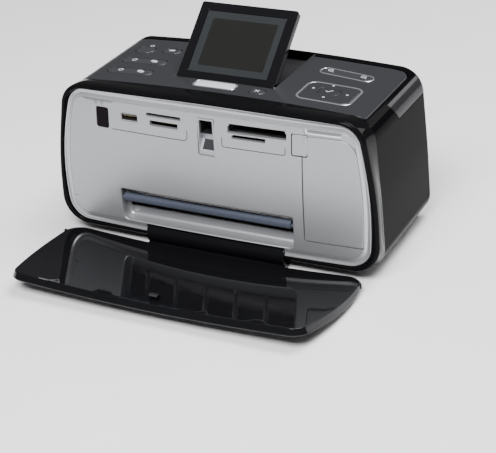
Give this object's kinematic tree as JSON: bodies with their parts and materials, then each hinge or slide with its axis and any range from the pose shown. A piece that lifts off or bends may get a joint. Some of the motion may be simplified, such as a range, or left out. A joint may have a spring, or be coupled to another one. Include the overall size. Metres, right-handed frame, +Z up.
{
  "type": "photo printer",
  "caption": "Compact tabletop photo printer: loaf-shaped black case, crowned silver face with card slots, fold-down output tray, control deck with a tilting screen, carry handle",
  "frame": {"origin": "under the middle of the case, on the plane that its rubber feet stand on", "axes": "+X to the printer's right as seen from the front, +Y to its back, +Z up; the silver face looks along -Y"},
  "size_m": [0.244, 0.2082, 0.1554],
  "materials": {
    "black_gloss": "glossy, mirror-smooth black moulding",
    "deck_grey": "smooth semi-gloss dark grey moulding",
    "silver": "satin silver paint on a plastic panel",
    "bright_trim": "bright satin silver edge",
    "smoke_window": "dark infrared window",
    "steel": "bright steel",
    "zinc_plate": "zinc plated sheet steel",
    "black_inner": "matt black moulding",
    "rubber_black": "black rubber",
    "roller_rubber": "dark grey roller rubber on a steel shaft",
    "white_nylon": "natural white moulding",
    "bar_blue": "blue-grey smooth moulding",
    "key_white": "pale silver key",
    "key_grey": "dark grey key",
    "screen_cover": "clear screen cover over a dark mask",
    "lcd": "dark liquid crystal panel",
    "pcb": "green circuit board",
    "slot_black": "black card connector with gilt contacts",
    "brass": "brass pinion"
  },
  "bodies": {
    "case": {"base_pan": "black_inner", "rubber_feet": "rubber_black", "main_shell": "black_gloss", "front_frame": "black_gloss", "face_bevel": "bright_trim", "front_panel": "silver", "control_deck": "deck_grey", "screen_well": "black_inner", "ir_window": "smoke_window", "usb_host_port": "steel", "card_slots_left": "slot_black", "card_slots_right": "slot_black", "tray_latch_pocket": "silver", "exit_bar": "bar_blue", "tray_hinge_rod": "steel", "door_hinge_rod": "steel", "key_board": "pcb", "engine_frame": "zinc_plate", "platen": "black_inner", "carriage_rod": "steel", "drive_belt": "rubber_black", "carriage_motor": "zinc_plate", "feed_motor": "zinc_plate", "main_board": "pcb", "reader_board": "pcb", "rear_ports": "steel", "case_screws": "steel"},
    "output_tray": {"output_tray": "black_gloss", "tray_hook": "black_gloss"},
    "cartridge_door": {"cartridge_door": "silver"},
    "carry_handle": {"carry_handle": "black_gloss"},
    "input_tray": {"input_tray": "black_gloss"},
    "width_guide": {"width_guide": "white_nylon"},
    "screen": {"screen_back": "black_gloss", "screen_bezel": "black_gloss", "screen_glass": "screen_cover", "lcd_panel": "lcd", "screen_pins": "steel"},
    "print_button": {"print_button": "key_white"},
    "cancel_button": {"cancel_button": "key_grey"},
    "power_button": {"power_button": "key_grey"},
    "preview_button": {"preview_button": "key_grey"},
    "upper_rocker": {"upper_rocker": "key_grey"},
    "lower_rocker": {"lower_rocker": "key_grey"},
    "zoom_rocker": {"zoom_rocker": "key_grey"},
    "nav_pivot": {"nav_pivot": "white_nylon"},
    "nav_pad": {"nav_pad": "key_grey"},
    "ok_button": {"ok_button": "key_grey"},
    "carriage": {"carriage": "black_inner", "ink_cartridge": "black_inner"},
    "idle_pulley": {"idle_pulley": "white_nylon"},
    "motor_pulley": {"motor_pulley": "white_nylon"},
    "feed_roller": {"feed_roller": "roller_rubber", "feed_gear": "white_nylon"},
    "idler_gear": {"idler_gear": "white_nylon"},
    "exit_roller": {"exit_roller": "roller_rubber"},
    "motor_gear": {"motor_gear": "brass"},
    "star_wheels": {"star_wheels": "steel"},
    "pinch_rollers": {"pinch_rollers": "roller_rubber"},
    "pick_roller": {"pick_roller": "roller_rubber"}
  },
  "joints": [
    {"name": "tray_hinge", "type": "hinge", "parent": "case", "child": "output_tray", "pos_m": [0.001, -0.0504, 0.0097], "axis": [1, 0, 0], "range_deg": [-84.7, 0]},
    {"name": "door_hinge", "type": "hinge", "parent": "case", "child": "cartridge_door", "pos_m": [0.09, -0.05325, 0.02795], "axis": [0.9985, 0.0541, 0], "range_deg": [0, 75]},
    {"name": "handle_slide", "type": "slide", "parent": "case", "child": "carry_handle", "axis": [0, 1, 0], "range_m": [0, 0.038]},
    {"name": "input_tray_hinge", "type": "hinge", "parent": "case", "child": "input_tray", "pos_m": [0, 0.0568, 0.0296], "axis": [-1, 0, 0], "range_deg": [0, 35]},
    {"name": "guide_slide", "type": "slide", "parent": "input_tray", "child": "width_guide", "axis": [-1, 0, 0], "range_m": [0, 0.024]},
    {"name": "screen_tilt", "type": "hinge", "parent": "case", "child": "screen", "pos_m": [-0.0035, -0.0156, 0.1149], "axis": [1, 0, 0], "range_deg": [-40, 15]},
    {"name": "print_press", "type": "slide", "parent": "case", "child": "print_button", "axis": [0, 0, -1], "range_m": [0, 0.0008], "stiffness_N_per_m": 600},
    {"name": "cancel_press", "type": "slide", "parent": "case", "child": "cancel_button", "axis": [0, 0, -1], "range_m": [0, 0.0008], "stiffness_N_per_m": 600},
    {"name": "power_press", "type": "slide", "parent": "case", "child": "power_button", "axis": [0, 0, -1], "range_m": [0, 0.0008], "stiffness_N_per_m": 600},
    {"name": "preview_press", "type": "slide", "parent": "case", "child": "preview_button", "axis": [0, 0, -1], "range_m": [0, 0.0008], "stiffness_N_per_m": 600},
    {"name": "ok_press", "type": "slide", "parent": "nav_pad", "child": "ok_button", "axis": [0, 0, -1], "range_m": [0, 0.0006], "stiffness_N_per_m": 600},
    {"name": "upper_rock", "type": "hinge", "parent": "case", "child": "upper_rocker", "pos_m": [-0.0764, 0.0015, 0.1101], "axis": [0, 1, 0], "range_deg": [-2, 2], "stiffness_Nm_per_rad": 0.8},
    {"name": "lower_rock", "type": "hinge", "parent": "case", "child": "lower_rocker", "pos_m": [-0.0769, -0.0184, 0.1101], "axis": [0, 1, 0], "range_deg": [-2, 2], "stiffness_Nm_per_rad": 0.8},
    {"name": "zoom_rock", "type": "hinge", "parent": "case", "child": "zoom_rocker", "pos_m": [0.07, 0.0224, 0.1101], "axis": [0.0872, 0.9962, 0], "range_deg": [-2, 2], "stiffness_Nm_per_rad": 0.8},
    {"name": "nav_tilt_front_back", "type": "hinge", "parent": "case", "child": "nav_pivot", "pos_m": [0.0708, -0.0106, 0.1113], "axis": [1, 0, 0], "range_deg": [-2, 2], "stiffness_Nm_per_rad": 0.8},
    {"name": "nav_tilt_side", "type": "hinge", "parent": "nav_pivot", "child": "nav_pad", "pos_m": [0.0708, -0.0106, 0.1113], "axis": [0, 1, 0], "range_deg": [-2, 2], "stiffness_Nm_per_rad": 0.8},
    {"name": "carriage_slide", "type": "slide", "parent": "case", "child": "carriage", "axis": [-1, 0, 0], "range_m": [0, 0.15]},
    {"name": "motor_pulley_spin", "type": "hinge", "parent": "case", "child": "motor_pulley", "pos_m": [0.1, 0.023, 0.06], "axis": [0, 0, 1], "continuous": true},
    {"name": "idle_pulley_spin", "type": "hinge", "parent": "case", "child": "idle_pulley", "pos_m": [-0.092, 0.023, 0.06], "axis": [0, 0, 1], "continuous": true},
    {"name": "feed_spin", "type": "hinge", "parent": "case", "child": "feed_roller", "pos_m": [0, 0.008, 0.0205], "axis": [1, 0, 0], "continuous": true},
    {"name": "idler_spin", "type": "hinge", "parent": "case", "child": "idler_gear", "pos_m": [-0.106, -0.01588, 0.02595], "axis": [1, 0, 0], "continuous": true},
    {"name": "exit_spin", "type": "hinge", "parent": "case", "child": "exit_roller", "pos_m": [0, -0.036, 0.022], "axis": [1, 0, 0], "continuous": true},
    {"name": "feed_motor_spin", "type": "hinge", "parent": "case", "child": "motor_gear", "pos_m": [-0.106, 0.0165, 0.03522], "axis": [1, 0, 0], "continuous": true},
    {"name": "star_spin", "type": "hinge", "parent": "case", "child": "star_wheels", "pos_m": [0, -0.036, 0.031], "axis": [1, 0, 0], "continuous": true},
    {"name": "pinch_spin", "type": "hinge", "parent": "case", "child": "pinch_rollers", "pos_m": [0, 0.008, 0.0304], "axis": [1, 0, 0], "continuous": true},
    {"name": "pick_spin", "type": "hinge", "parent": "case", "child": "pick_roller", "pos_m": [0, 0.036, 0.044], "axis": [1, 0, 0], "continuous": true}
  ],
  "couplings": [
    {"joint": "idler_spin", "follows": "feed_spin", "ratio": -0.96},
    {"joint": "exit_spin", "follows": "feed_spin", "ratio": 1.5},
    {"joint": "feed_motor_spin", "follows": "feed_spin", "ratio": -2.4},
    {"joint": "pinch_spin", "follows": "feed_spin", "ratio": -1.375},
    {"joint": "star_spin", "follows": "feed_spin", "ratio": -1.3636},
    {"joint": "idle_pulley_spin", "follows": "motor_pulley_spin", "ratio": 1}
  ]
}
